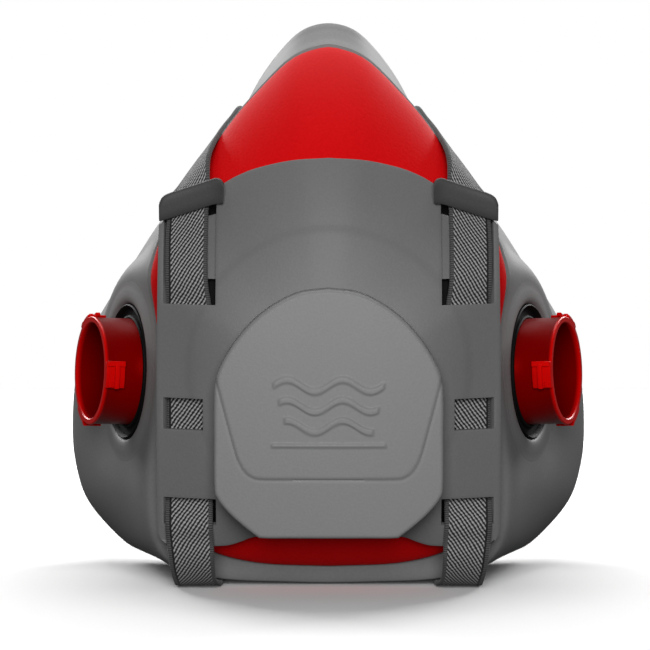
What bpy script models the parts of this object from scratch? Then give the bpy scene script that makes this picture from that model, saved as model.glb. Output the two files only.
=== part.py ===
"""A reusable half-mask respirator with two side bayonet ports, built as separate pieces.

Frame: the mask looks along -Y and +Z is up. Right and left are as seen from the front, so right is
+X. It stands on the floor, z = 0, on its two neck straps, and the head harness lies folded down
behind it. Lengths below are in millimetres, with y = 0 near the back of the ports. Each mesh is
moved by SHIFT and scaled to metres when its object is made.
"""

import math

import bmesh
import bpy
from mathutils import Matrix, Vector

MM = 0.001
GAP = 0.3  # clearance left between pieces that touch
SHIFT = Vector((0, -48.5, 0))  # puts the origin under the middle of the whole object

# Moulded bodies
RING_POINTS = 48  # points round the soft facepiece and the rigid body
SOFT_WALL = 2.2
RIGID_WALL = 2.0
FRONT_Y = -50.0  # foremost point of the rigid body
VALVE_Z = 56.0  # height of the exhalation valve, the centre of the front dome
COVER_BACK = 2.7  # the front cover's faces, as offsets in front of the rigid body
COVER_FRONT = 5.0
STRAIGHT_FROM = 0.8  # share of the dome's radius where the cover stops following its rounding

# Webbing
STRAP_X = 38.3
STRAP_WIDTH = 13.2
STRAP_THICK = 1.3

# Bayonet ports
PORT_CENTRE = Vector((58.6, -8.8, 58.0))  # middle of the recess mouth, right-hand side
PORT_FORWARD = math.radians(20.0)  # how far each port turns towards the front
PORT_RISE = math.radians(3.0)
PORT_OUT = 9.3  # tube length that stands out of the recess
PORT_IN = -10.0
TUBE_R = 15.0
BORE_R = 13.6
RECESS_R = 19.1
RECESS_DEPTH = 5.0
COLLAR_R = 24.5
WEB_BACK = -7.0
LUG_R = 16.9
LUG_ANGLE = math.radians(29.0)
LUG_LENGTH = 5.7
FLAP_THICK = 0.8

# Half outlines seen from the front, top centre to bottom centre: x, z and depth y
RIGID_EDGE = [
    (0, 150, -2), (10, 146.5, -4), (20, 137, -8), (28.5, 127, -12), (38, 112, -19),
    (47, 98.5, -26), (49.2, 88, -30), (47, 76, -33), (46, 60, -35), (45.5, 42, -36),
    (43, 24, -36), (35.5, 12, -35), (21, 6.6, -31), (0, 5.2, -29),
]
FLANGE_EDGE = [
    (0, 156.1, 10), (7.3, 154.2, 10), (13.6, 148.5, 12), (20, 140, 13), (27.4, 126.4, 18),
    (42, 108.3, 24), (50.9, 96, 27), (56.4, 87.5, 29), (66, 73, 33), (72, 61, 35), (74.6, 50, 35),
    (75.2, 36.7, 35), (74.4, 28, 34), (70.7, 16.5, 31), (60, 5.6, 25), (54, 3.4, 22),
    (38, 2.6, 17), (0, 0.8, 14),
]
# Walls of the facepiece: share of the way out, share of the way back
SOFT_WALL_RINGS = [(0.03, 0.03), (0.15, 0.1), (0.36, 0.36), (0.68, 0.66), (1.0, 1.0)]
# The turned-in sealing lip: inset from the flange, step back from it
LIP_RINGS = [(2.6, 4.4), (9.0, 5.6), (18.0, 1.5), (24.0, -4.5)]


# --- Curves -----------------------------------------------------------------------------------

def smooth_line(points, steps):
    """A Catmull-Rom curve through points, with so many steps in each span."""
    pts = [Vector(p) for p in points]
    pts = [2 * pts[0] - pts[1]] + pts + [2 * pts[-1] - pts[-2]]
    line = []
    for a, b, c, d in zip(pts, pts[1:], pts[2:], pts[3:]):
        for i in range(steps):
            t = i / steps
            line.append(0.5 * ((2 * b) + (c - a) * t + (2 * a - 5 * b + 4 * c - d) * t * t
                               + (3 * b - a - 3 * c + d) * t * t * t))
    return line + [pts[-2]]


def resample(line, count, power=1.0):
    """count points along a line, ends included; a power over 1 sets the first ones closer."""
    lengths = [0.0]
    for a, b in zip(line, line[1:]):
        lengths.append(lengths[-1] + (b - a).length)
    out, j = [], 0
    for i in range(count):
        goal = lengths[-1] * (i / (count - 1)) ** power
        while j < len(line) - 2 and lengths[j + 1] < goal:
            j += 1
        share = (goal - lengths[j]) / max(lengths[j + 1] - lengths[j], 1e-9)
        out.append(line[j].lerp(line[j + 1], min(1.0, share)))
    return out


def mirrored_ring(half):
    """A closed ring from a half ring that starts and ends on the middle plane."""
    return list(half) + [Vector((-p.x, p.y, p.z)) for p in reversed(half[1:-1])]


def outline_ring(points, steps=4):
    """A closed ring in x, y, z from half-outline points that hold x, z, y, closer set at its top."""
    line = smooth_line([(x, y, z) for x, z, y in points], steps)
    return mirrored_ring(resample(line, RING_POINTS // 2 + 1, 1.2))


# --- The front dome ---------------------------------------------------------------------------

def polar_edge():
    """The rigid body's edge as angle from the top, radius and depth, about the valve centre."""
    line = smooth_line([(x, y, z) for x, z, y in RIGID_EDGE], 6)
    return [(math.atan2(p.x, p.z - VALVE_Z), math.hypot(p.x, p.z - VALVE_Z), p.y) for p in line]


EDGE = polar_edge()


def edge_at(angle):
    """Radius and depth of the rigid body's edge at an angle from the top."""
    angle = abs(angle)
    for (a0, r0, y0), (a1, r1, y1) in zip(EDGE, EDGE[1:]):
        if angle <= a1:
            t = (angle - a0) / max(a1 - a0, 1e-9)
            return r0 + (r1 - r0) * t, y0 + (y1 - y0) * t
    return EDGE[-1][1], EDGE[-1][2]


def rounding(share):
    """Depth of the dome's profile, 0 at its middle and 1 at its edge."""
    return 0.6 * share ** 3 + 0.4 * (1 - math.sqrt(max(0.0, 1 - share * share)))


def dome_y(x, z, offset=0.0, straight=False):
    """Depth of the rigid body's face at x, z; straight is the cover's own, which isn't rounded off."""
    radius, depth = edge_at(math.atan2(x, z - VALVE_Z))
    share = math.hypot(x, z - VALVE_Z) / radius
    if straight and share > STRAIGHT_FROM:
        slope = (rounding(STRAIGHT_FROM) - rounding(STRAIGHT_FROM - 0.01)) / 0.01
        drop = rounding(STRAIGHT_FROM) + slope * (share - STRAIGHT_FROM)
    else:
        drop = rounding(min(share, 1.0))
    return FRONT_Y + (depth - FRONT_Y) * drop - offset


def cover_y(x, z, offset):
    return dome_y(x, z, offset, straight=True)


# --- Making objects ---------------------------------------------------------------------------

def clear_scene():
    for obj in list(bpy.data.objects):
        bpy.data.objects.remove(obj, do_unlink=True)


def make_material(name, rgb, roughness, metallic=0.0):
    mat = bpy.data.materials.new(name)
    mat.use_nodes = True
    shader = mat.node_tree.nodes["Principled BSDF"]
    shader.inputs["Base Color"].default_value = (*rgb, 1.0)
    shader.inputs["Roughness"].default_value = roughness
    shader.inputs["Metallic"].default_value = metallic
    return mat


def finish_object(name, bm, material, flat_above=35.0):
    """An object in metres from a bmesh in millimetres, smooth except at its edges."""
    bmesh.ops.recalc_face_normals(bm, faces=bm.faces)
    bmesh.ops.translate(bm, vec=SHIFT, verts=bm.verts)
    bmesh.ops.scale(bm, vec=(MM, MM, MM), verts=bm.verts)
    mesh = bpy.data.meshes.new(name)
    bm.to_mesh(mesh)
    bm.free()
    mesh.shade_smooth()
    mesh.set_sharp_from_angle(angle=math.radians(flat_above))
    obj = bpy.data.objects.new(name, mesh)
    if material:
        mesh.materials.append(material)
    bpy.context.scene.collection.objects.link(obj)
    return obj


def as_cutter(obj):
    obj.hide_render = True
    obj.display_type = "WIRE"
    return obj


def combine(obj, other, operation):
    """A Boolean of obj with other, which becomes a hidden helper."""
    modifier = obj.modifiers.new(operation.title() + "_" + other.name, "BOOLEAN")
    modifier.operation = operation
    modifier.object = as_cutter(other)
    return obj


def add_ring(bm, points):
    verts = [bm.verts.new(p) for p in points]
    return verts, [bm.edges.new((a, b)) for a, b in zip(verts, verts[1:] + verts[:1])]


def extrude_ring(bm, verts, edges, points):
    """Extrudes a closed ring of edges and moves the new ring to points, in the same order."""
    made = set(bmesh.ops.extrude_edge_only(bm, edges=edges)["geom"])
    fresh = []
    for vert in verts:
        link = next(e for e in vert.link_edges if e.other_vert(vert) in made and e not in edges)
        fresh.append(link.other_vert(vert))
    for vert, place in zip(fresh, points):
        vert.co = place
    loop = [bm.edges.get((a, b)) for a, b in zip(fresh, fresh[1:] + fresh[:1])]
    return fresh, loop


def loft(rings, close=False, caps=True):
    """A bmesh skin over rings of points; close joins the last ring to the first."""
    bm = bmesh.new()
    first, first_edges = add_ring(bm, rings[0])
    verts, edges = first, first_edges
    for points in rings[1:]:
        verts, edges = extrude_ring(bm, verts, edges, points)
    if close:
        bmesh.ops.bridge_loops(bm, edges=first_edges + edges)
    elif caps:
        bm.faces.new(first)
        bm.faces.new(verts)
    return bm


def turned(profile, segments=48):
    """A bmesh turned about Z from (radius, height) points of a closed profile, off the axis."""
    bm = bmesh.new()
    verts = [bm.verts.new((r, 0, h)) for r, h in profile]
    edges = [bm.edges.new((a, b)) for a, b in zip(verts, verts[1:] + verts[:1])]
    bmesh.ops.spin(bm, geom=verts + edges, cent=(0, 0, 0), axis=(0, 0, 1),
                   angle=2 * math.pi, steps=segments, use_merge=True)
    bmesh.ops.remove_doubles(bm, verts=bm.verts, dist=0.001)
    return bm


def disc(radius, low, high, segments=32):
    """A solid cylinder about Z from low to high."""
    bm = bmesh.new()
    bmesh.ops.create_cone(bm, cap_ends=True, segments=segments, radius1=radius, radius2=radius,
                          depth=high - low, matrix=Matrix.Translation((0, 0, (low + high) / 2)))
    return bm


def block(low, high):
    """A box between two corners."""
    bm = bmesh.new()
    low, high = Vector(low), Vector(high)
    size = high - low
    place = Matrix.Translation((low + high) / 2) @ Matrix.Diagonal((*size, 1))
    bmesh.ops.create_cube(bm, size=1.0, matrix=place)
    return bm


def prism(outline, y_low=-80.0, y_high=0.0):
    """An upright outline of (x, z) points pushed through along Y."""
    bm = bmesh.new()
    face = bm.faces.new([bm.verts.new((x, y_low, z)) for x, z in outline])
    made = bmesh.ops.extrude_face_region(bm, geom=[face])["geom"]
    bmesh.ops.translate(bm, vec=(0, y_high - y_low, 0),
                        verts=[v for v in made if isinstance(v, bmesh.types.BMVert)])
    return bm


def slab(front, back, low, high, step):
    """A closed slab between two depth functions of x, z over a rectangle of the front view."""
    columns = max(2, round((high[0] - low[0]) / step))
    rows = max(2, round((high[1] - low[1]) / step))
    bm = bmesh.new()
    bmesh.ops.create_grid(bm, x_segments=columns, y_segments=rows, size=0.5)
    for vert in bm.verts:
        x = low[0] + (vert.co.x + 0.5) * (high[0] - low[0])
        z = low[1] + (vert.co.y + 0.5) * (high[1] - low[1])
        vert.co = (x, front(x, z), z)
    made = bmesh.ops.extrude_face_region(bm, geom=list(bm.faces))["geom"]
    for vert in made:
        if isinstance(vert, bmesh.types.BMVert):
            vert.co.y = back(vert.co.x, vert.co.z)
    bmesh.ops.triangulate(bm, faces=bm.faces)
    return bm


def move(bm, matrix):
    bmesh.ops.transform(bm, matrix=matrix, verts=bm.verts)
    return bm


def add_mirrored(bm):
    """Adds a copy of everything in bm on the other side of the middle plane."""
    made = bmesh.ops.duplicate(bm, geom=list(bm.verts) + list(bm.edges) + list(bm.faces))["geom"]
    for vert in made:
        if isinstance(vert, bmesh.types.BMVert):
            vert.co.x = -vert.co.x


def ribbon(rows, thickness, steps=2):
    """A flat strap skinned along rows of three points across its width, smoothed lengthwise."""
    rails = [smooth_line([row[i] for row in rows], steps) for i in range(3)]
    rings = []
    count = len(rails[1])
    for i in range(count):
        left, middle, right = (rail[i] for rail in rails)
        ahead = rails[1][min(i + 1, count - 1)] - rails[1][max(i - 1, 0)]
        up = (right - left).cross(ahead).normalized() * (thickness / 2)
        rings.append([left + up, middle + up, right + up, right - up, middle - up, left - up])
    return loft(rings)


def port_frame(side):
    """Matrix whose +Z runs out of a port, with its +X turned forward; side is 1 or -1."""
    out = Vector((side * math.cos(PORT_FORWARD) * math.cos(PORT_RISE),
                  -math.sin(PORT_FORWARD) * math.cos(PORT_RISE), math.sin(PORT_RISE)))
    up = (Vector((0, 0, 1)) - out * out.z).normalized()
    forward = up.cross(out)
    forward = forward if forward.y < 0 else -forward
    third = out.cross(forward)
    turn = Matrix((forward, third, out)).transposed().to_4x4()
    return Matrix.Translation((side * PORT_CENTRE.x, PORT_CENTRE.y, PORT_CENTRE.z)) @ turn


# --- Soft facepiece ---------------------------------------------------------------------------

def facepiece_rings():
    """Rings of the facepiece from its front hole, over the cheeks and flange, to the lip's edge."""
    rigid = outline_ring(RIGID_EDGE)
    flange = outline_ring(FLANGE_EDGE)
    centre = Vector((0, 0, 66))

    def inset(point, distance, back):
        inward = Vector((centre.x - point.x, 0, centre.z - point.z)).normalized()
        return point + inward * distance + Vector((0, back, 0))

    rings = [[inset(p, 5.0, 3.5) for p in rigid]]
    for out, back in SOFT_WALL_RINGS:
        ring = []
        for a, b in zip(rigid, flange):
            share = out ** min(1.0, max(0.1, (a.z - 4.0) / 16))  # the chin strip drops at once
            ring.append(Vector((a.x + (b.x - a.x) * share, a.y + 2.6 + (b.y - a.y - 2.6) * back,
                                a.z + (b.z - a.z) * share)))
        rings.append(ring)
    rings += [[inset(p, distance, back) for p in flange] for distance, back in LIP_RINGS]
    return rings


def make_facepiece(material):
    face = finish_object("face_piece", loft(facepiece_rings(), caps=False), material)
    wall = face.modifiers.new("wall", "SOLIDIFY")
    wall.thickness = SOFT_WALL * MM
    wall.offset = -1.0
    collar = [(10.0, WEB_BACK), (10.0, -1.5), (RECESS_R - 2, -0.9), (RECESS_R + 0.9, 0.0),
              (RECESS_R + 2.6, -0.3), (COLLAR_R - 0.9, -2.4), (COLLAR_R, -5.0), (COLLAR_R, WEB_BACK)]
    recess = [(0.0, -30), (TUBE_R + 0.4, -30), (TUBE_R + 0.4, -RECESS_DEPTH),
              (RECESS_R, -RECESS_DEPTH), (RECESS_R, 20), (0.0, 20)]
    collars = move(turned(collar, 30), port_frame(1))
    add_mirrored(collars)
    combine(face, finish_object("collars", collars, None), "UNION")
    recesses = move(turned_solid(recess, 30), port_frame(1))
    add_mirrored(recesses)
    combine(face, finish_object("recesses", recesses, None), "DIFFERENCE")
    return face


# --- Rigid body -------------------------------------------------------------------------------

def make_rigid_body(material):
    """The red shell that carries the ports' load, the valve and the front cover."""
    rings = [outline_ring(RIGID_EDGE)]
    for share in (0.975, 0.93, 0.86, 0.76, 0.64, 0.5):
        ring = []
        for p in rings[0]:
            x, z = p.x * share, VALVE_Z + (p.z - VALVE_Z) * share
            ring.append(Vector((x, dome_y(x, z), z)))
        rings.append(ring)
    hole = []
    for p in rings[0]:
        angle = math.atan2(p.x, p.z - VALVE_Z)
        x, z = 17.3 * math.sin(angle), VALVE_Z + 17.3 * math.cos(angle)
        hole.append(Vector((x, dome_y(x, z), z)))
    body = finish_object("rigid_body", loft(rings + [hole], caps=False), material)
    wall = body.modifiers.new("wall", "SOLIDIFY")
    wall.thickness = RIGID_WALL * MM
    wall.offset = -1.0
    return body


# --- Front cover ------------------------------------------------------------------------------

COVER_OUTLINE = [
    (0, 119), (10, 118.5), (19.4, 116.4), (28.8, 111.8), (46.6, 106.2), (46.8, 99), (47.0, 80),
    (47.2, 60), (47.2, 30), (47.0, 16.5), (44.5, 12.8), (38, 12.4), (30.9, 12.7), (27.3, 13.0),
    (23.9, 14.1), (19.9, 15.5), (10, 16), (0, 16),
]
BAR_OUTLINE = [
    (28.9, 112.4), (31.1, 113.2), (33.0, 112.5), (40.6, 110.1), (44.6, 108.6), (46.3, 107.0),
    (46.7, 101.8), (45.3, 101.9), (31.6, 106.3), (28.9, 106.3),
]
PANEL_OUTLINE = [(30.2, 103.9), (45.9, 99.2), (45.9, 86.2), (30.2, 86.2)]
WINDOWS = {
    "upper_window": ((30.8, 79.4), (45.4, 130.0)),
    "middle_window": ((34.3, 45.1), (45.4, 53.7)),
    "lower_window": ((30.8, 18.6), (45.4, 26.2)),
}


def both_sides(points):
    """A closed outline from the half that runs from top centre to bottom centre."""
    return list(points) + [(-x, z) for x, z in reversed(points) if x > 0]


def flipped(points, side):
    return [(side * x, z) for x, z in points]


def box_corners(low, high):
    return [(low[0], low[1]), (high[0], low[1]), (high[0], high[1]), (low[0], high[1])]


def cover_piece(name, outline, back, front, step):
    """A plate that follows the front cover's shape between two offsets, trimmed to an outline."""
    low = (min(x for x, _ in outline) - 2, min(z for _, z in outline) - 2)
    high = (max(x for x, _ in outline) + 2, max(z for _, z in outline) + 2)
    bm = slab(lambda x, z: cover_y(x, z, front), lambda x, z: cover_y(x, z, back), low, high, step)
    plate = finish_object(name, bm, None)
    return combine(plate, finish_object(name + "_edge", prism(outline), None), "INTERSECT")


def make_front_cover(material):
    """The yoke over the rigid body: strap slots, webbing guides and the valve opening."""
    cover = cover_piece("front_cover", both_sides(COVER_OUTLINE), COVER_BACK, COVER_FRONT, 7)
    cover.data.materials.append(material)
    sides = ((1, "_right"), (-1, "_left"))
    for side, label in sides:
        for name, (low, high) in WINDOWS.items():
            window = prism(flipped(box_corners(low, high), side))
            combine(cover, finish_object(name + label, window, None), "DIFFERENCE")
    opening = disc(18.2, -20, 20, 40)
    move(opening, Matrix.Translation((0, -50, VALVE_Z)) @ Matrix.Rotation(math.pi / 2, 4, "X"))
    combine(cover, finish_object("valve_opening", opening, None), "DIFFERENCE")
    for side, label in sides:
        parts = [
            ("panel", PANEL_OUTLINE, 0.8, 2.9), ("bar", BAR_OUTLINE, 5.6, 8.0),
            ("bar_post", box_corners((29.1, 104.3), (30.5, 111.4)), 3.3, 7.4),
            ("bar_rail", box_corners((45.6, 98.3), (46.4, 105.6)), 3.3, 7.4),
        ]
        for name, outline, back, front in parts:
            piece = cover_piece(name + label, flipped(outline, side), back, front, 6)
            combine(cover, piece, "UNION")
    return cover


# --- Exhalation valve and its cover -----------------------------------------------------------

VALVE_COVER_OUTLINE = [
    (0, 84.4), (7.7, 83.5), (14.6, 80), (20.8, 75.4), (25.7, 70), (29.1, 63.8), (30.7, 59.7),
    (30.9, 56), (31, 31.5), (30.4, 27.9), (26.1, 22.7), (19.7, 17.4), (18.0, 16.8), (0, 16.8),
]
STEP_OUTLINE = [
    (0, 90), (40, 90), (40, 58.5), (30.1, 58.5), (26, 40.2), (24.4, 37.1), (21.2, 33.2), (0, 33),
]
VALVE_FACE_Y = -63.0


def valve_face(x, z, offset=0.0):
    return VALVE_FACE_Y + 3.2 * ((x / 31) ** 2 + ((z - 52) / 36) ** 2) / 1.6 + offset


def inset_outline(points, distance, centre=(0, 50)):
    """Half-outline points drawn in towards a centre."""
    out = []
    for x, z in points:
        v = Vector((centre[0] - x, centre[1] - z)).normalized() * distance
        out.append((max(0.0, x + v.x), z + v.y))
    return out


def make_valve_cover(material):
    """A raised hood over the exhalation valve; exhaled air leaves through the slot under it."""
    outline = both_sides(VALVE_COVER_OUTLINE)
    bm = slab(valve_face, lambda x, z: cover_y(x, z, COVER_FRONT + 3 * GAP), (-33, 14), (33, 87), 8)
    hood = finish_object("valve_cover", bm, material)
    combine(hood, finish_object("valve_cover_edge", prism(outline), None), "INTERSECT")
    hollow = both_sides(inset_outline(VALVE_COVER_OUTLINE, 2.4))
    bm = slab(lambda x, z: valve_face(x, z, 2.2), lambda x, z: cover_y(x, z, -1), (-33, 14), (33, 87), 9)
    cavity = finish_object("valve_cavity", bm, None)
    combine(cavity, finish_object("valve_cavity_edge", prism(hollow), None), "INTERSECT")
    combine(hood, cavity, "DIFFERENCE")
    outlet = block((-14, -57.5, 10), (14, -40, 24))
    combine(hood, finish_object("valve_outlet", outlet, None), "DIFFERENCE")
    bm = slab(lambda x, z: valve_face(x, z, 0.7), lambda x, z: valve_face(x, z, -3), (-34, 12), (34, 62), 9)
    lower = finish_object("valve_step", bm, None)
    inside = finish_object("valve_step_edge", prism(both_sides(STEP_OUTLINE)), None)
    combine(lower, inside, "DIFFERENCE")
    return combine(hood, lower, "DIFFERENCE")


def facing_front(z=VALVE_Z):
    """Matrix that turns +Z to the front, placed on the valve's axis."""
    return Matrix.Translation((0, 0, z)) @ Matrix.Rotation(math.pi / 2, 4, "X")


def add_spider(obj, label, bore, hub, low, high, spokes, frame):
    """Spokes from a hub to the bore round it."""
    for i in range(spokes):
        bar = block((hub - 0.6, -0.9, low), (bore + 0.5, 0.9, high))
        turn = Matrix.Rotation(2 * math.pi * (i + 0.5) / spokes, 4, "Z")
        combine(obj, finish_object("spoke_%d_%s" % (i, label), move(bar, frame @ turn), None), "UNION")


def stem(hub, low, high, head_low, head_high, shaft=1.2, head=2.6):
    """Hub, shaft and head of a valve stem, turned about Z as one closed profile."""
    return [(0.0, low), (hub, low), (hub, high), (shaft, high), (shaft, head_low),
            (head, head_low), (head, head_high), (0.0, head_high)]


def make_exhale_seat(material):
    """The ring pressed into the rigid body; its stem holds the flap's middle."""
    frame = facing_front()
    ring = [(13.2, 45.0), (18.4, 45.0), (18.4, 46.2), (16.4, 46.2), (16.4, 50.6), (13.2, 50.6)]
    seat = finish_object("exhale_valve_seat", move(turned(ring, 30), frame), material)
    post = turned_solid(stem(3.2, 48.0, 50.6, 54.6, 56.0), 12)
    combine(seat, finish_object("exhale_stem", move(post, frame), None), "UNION")
    add_spider(seat, "exhale", 13.2, 3.2, 48.2, 50.2, 4, frame)
    return seat


def turned_solid(profile, segments):
    """A bmesh turned about Z from a profile that starts and ends on the axis."""
    bm = bmesh.new()
    verts = [bm.verts.new((r, 0, h)) for r, h in profile]
    edges = [bm.edges.new((a, b)) for a, b in zip(verts, verts[1:])]
    bmesh.ops.spin(bm, geom=verts + edges, cent=(0, 0, 0), axis=(0, 0, 1),
                   angle=2 * math.pi, steps=segments, use_merge=True)
    bmesh.ops.remove_doubles(bm, verts=bm.verts, dist=0.001)
    return bm


def flap_disc(radius, low, hole=1.6):
    return turned([(hole, low), (radius, low), (radius, low + FLAP_THICK), (hole, low + FLAP_THICK)], 24)


def set_origin(obj, place):
    """Moves an object's origin to a point, in millimetres, with its shape left where it is."""
    place = (Vector(place) + SHIFT) * MM
    obj.data.transform(Matrix.Translation(-place))
    obj.location = place
    return obj


def make_exhale_flap(material):
    flap = finish_object("exhale_valve_flap", move(flap_disc(15.8, 50.9), facing_front()), material)
    return set_origin(flap, (0, -51.3, VALVE_Z))


# --- Bayonet ports ----------------------------------------------------------------------------

def lug(start):
    """One bayonet lug: a block bent round the tube that starts at an angle about Z."""
    bm = bmesh.new()
    high, low = PORT_OUT - 0.2, PORT_OUT - LUG_LENGTH
    corners = [(TUBE_R - 0.6, low), (LUG_R, low), (LUG_R, high), (TUBE_R - 0.6, high)]
    face = bm.faces.new([bm.verts.new((r, 0, h)) for r, h in corners])
    bmesh.ops.spin(bm, geom=[face], cent=(0, 0, 0), axis=(0, 0, 1), angle=LUG_ANGLE, steps=5)
    bmesh.ops.remove_doubles(bm, verts=bm.verts, dist=0.001)
    bmesh.ops.holes_fill(bm, edges=bm.edges)
    return move(bm, Matrix.Rotation(start - LUG_ANGLE / 2, 4, "Z"))


def make_port(side, label, material):
    """A tube with three lugs outside, a shoulder over the soft web and a spider for the flap."""
    frame = port_frame(side)
    tube = [(BORE_R, PORT_IN), (TUBE_R, PORT_IN), (TUBE_R, -4.6), (18.3, -4.6), (18.3, -3.3),
            (TUBE_R, -3.3), (TUBE_R, PORT_OUT - 0.4), (TUBE_R - 0.3, PORT_OUT),
            (BORE_R, PORT_OUT)]
    port = finish_object("port_" + label, move(turned(tube, 30), frame), material)
    for i in range(3):
        piece = move(lug(2 * math.pi * i / 3), frame)
        combine(port, finish_object("lug_%d_%s" % (i, label), piece, None), "UNION")
    post = turned_solid([(r, -2.0 - h) for r, h in stem(3.0, 0.0, 2.0, 5.4, 6.6)], 12)
    combine(port, finish_object("inhale_stem_" + label, move(post, frame), None), "UNION")
    add_spider(port, label, BORE_R, 3.0, -3.8, -2.2, 3, frame)
    return port


def make_port_ring(side, label, material):
    """The nut inside the mask that clamps the soft web against the port's shoulder."""
    profile = [(TUBE_R + GAP, -9.6), (20.0, -9.6), (20.0, WEB_BACK - GAP), (TUBE_R + GAP, WEB_BACK - GAP)]
    return finish_object("port_ring_" + label, move(turned(profile, 24), port_frame(side)), material)


def make_gasket(side, label, material):
    profile = [(TUBE_R + GAP, -3.0), (18.6, -3.0), (18.8, -2.0), (18.2, -1.2), (TUBE_R + GAP, -1.2)]
    return finish_object("port_gasket_" + label, move(turned(profile, 24), port_frame(side)), material)


def make_inhale_flap(side, label, material):
    frame = port_frame(side)
    disc_low = -4.3 - FLAP_THICK
    flap = finish_object("inhale_flap_" + label, move(flap_disc(12.9, disc_low), frame), material)
    return set_origin(flap, frame @ Vector((0, 0, disc_low + FLAP_THICK / 2)))


# --- Harness ----------------------------------------------------------------------------------

def on_cover(z, offset, x=STRAP_X, tilt=0.0):
    """A row of three strap points that follows the cover; tilt drops the outer edge, in degrees."""
    angle = math.radians(tilt)
    row = []
    for s in (-0.5, 0.0, 0.5):
        px = x + s * STRAP_WIDTH * math.cos(angle)
        pz = z - s * STRAP_WIDTH * math.sin(angle)
        row.append(Vector((px, cover_y(px, pz, offset), pz)))
    return row


def in_air(x, y, z, tilt=0.0, yaw=0.0):
    """A row of strap points about a centre; yaw sets its outer edge back, in degrees."""
    a, b = math.radians(tilt), math.radians(yaw)
    across = Vector((math.cos(a) * math.cos(b), math.sin(b), -math.sin(a) * math.cos(b)))
    return [Vector((x, y, z)) + across * (s * STRAP_WIDTH) for s in (-0.5, 0.0, 0.5)]


def strap_rows():
    """The right-hand strap from the head cradle, through the cover, to the neck clip."""
    low = STRAP_THICK / 2
    head = [
        in_air(28, 134, 5.8), in_air(28, 124.6, 5.7), in_air(28, 121.6, 3.2), in_air(28, 118.9, 0.8),
        in_air(28, 115.7, 0.8), in_air(28, 112.8, 3.2), in_air(28, 108.6, 6.6), in_air(28, 104, 12),
        in_air(28, 98, 23), in_air(27.5, 86, 46, 2), in_air(27, 71, 77, 8), in_air(27, 54, 104, 24),
        in_air(26.8, 34, 120.3, 42), in_air(28.7, 18, 127.2, 52), in_air(31.6, 2, 124.2, 53),
        in_air(34.4, -14, 120.3, 53), in_air(36.8, -25.5, 115.2, 48), on_cover(109.0, 4.5, 38.0, 17),
    ]
    front = [
        on_cover(104, 4.3, 38.2, 14), on_cover(98, 4.2, tilt=5), on_cover(92, 4.2),
        on_cover(86.8, 4.1), on_cover(82.8, 2.7), on_cover(79.0, 1.4), on_cover(66, 1.35),
        on_cover(52, 1.35), on_cover(38, 1.35), on_cover(27, 1.35), on_cover(22.4, 3.7),
        on_cover(18.2, 6.1), on_cover(13.5, 6.2, 38.1), in_air(37.2, -44.0, 8.0, 0, 14),
        in_air(36.2, -43.2, 3.4, 0, 8), in_air(35.9, -40.8, low + 0.4),
    ]
    neck = [
        in_air(35.8, -36, low), in_air(34.5, 0, low), in_air(33, 42, low), in_air(33, 46.9, 0.85),
        in_air(33, 49.6, 3.4), in_air(33, 52.4, 3.4), in_air(33, 55.1, 0.85), in_air(33, 60, low),
        in_air(33, 77, low),
        in_air(33, 81.2, 1.3), in_air(33, 82.6, 3.4), in_air(33, 81.2, 5.5), in_air(33, 77, 5.9),
        in_air(33, 70, 3.2), in_air(33, 62, 2.6),
    ]
    return head + front + neck


def make_strap(side, label, material):
    rows = strap_rows()
    if side < 0:
        rows = [[Vector((-p.x, p.y, p.z)) for p in row] for row in rows]
    return finish_object("strap_" + label, ribbon(rows, STRAP_THICK, 1), material)


def make_cradle(material):
    """The moulded plate that sits on the crown of the head; the straps weave through its slots."""
    outline = []
    for i in range(32):
        a = 2 * math.pi * i / 32
        c, s = math.cos(a), math.sin(a)
        outline.append((46 * math.copysign(abs(c) ** 0.7, c), 133 + 27 * math.copysign(abs(s) ** 0.7, s)))
    bm = bmesh.new()
    face = bm.faces.new([bm.verts.new((x, y, 1.8)) for x, y in outline])
    made = bmesh.ops.extrude_face_region(bm, geom=[face])["geom"]
    bmesh.ops.translate(bm, vec=(0, 0, 2.8), verts=[v for v in made if isinstance(v, bmesh.types.BMVert)])
    cradle = finish_object("head_cradle", bm, material)
    for side, label in ((1, "right"), (-1, "left")):
        for row, y in (("front", 112.8), ("back", 121.8)):
            slot = block((side * 28 - 7.2, y - 3.0, 0), (side * 28 + 7.2, y + 3.0, 7))
            combine(cradle, finish_object("slot_%s_%s" % (row, label), slot, None), "DIFFERENCE")
    opening = block((-17, 126, 0), (17, 148, 7))
    return combine(cradle, finish_object("crown_opening", opening, None), "DIFFERENCE")


# The ladder lock's cuts, as y and z from and to: slots, and the strap's way past each bar
LADDER_CUTS = [(46.6, 50.0, 0, 6), (52.0, 55.4, 0, 6), (43, 46.7, 0, 2.0), (49.9, 52.1, 1.9, 6),
               (55.3, 59, 0, 2.0)]


def make_adjuster(side, label, material):
    """A ladder lock: the strap goes under two bars and over the one between them."""
    x = side * 33
    frame = finish_object("adjuster_" + label, block((x - 9, 44, 0.4), (x + 9, 58, 4.4)), material)
    for i, (y0, y1, z0, z1) in enumerate(LADDER_CUTS):
        cut = block((x - 7.1, y0, z0), (x + 7.1, y1, z1))
        combine(frame, finish_object("strap_way_%d_%s" % (i, label), cut, None), "DIFFERENCE")
    return frame


CLIP_PIN = (80.0, 3.4)  # y and z of the round bar each strap end is folded about


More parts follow.
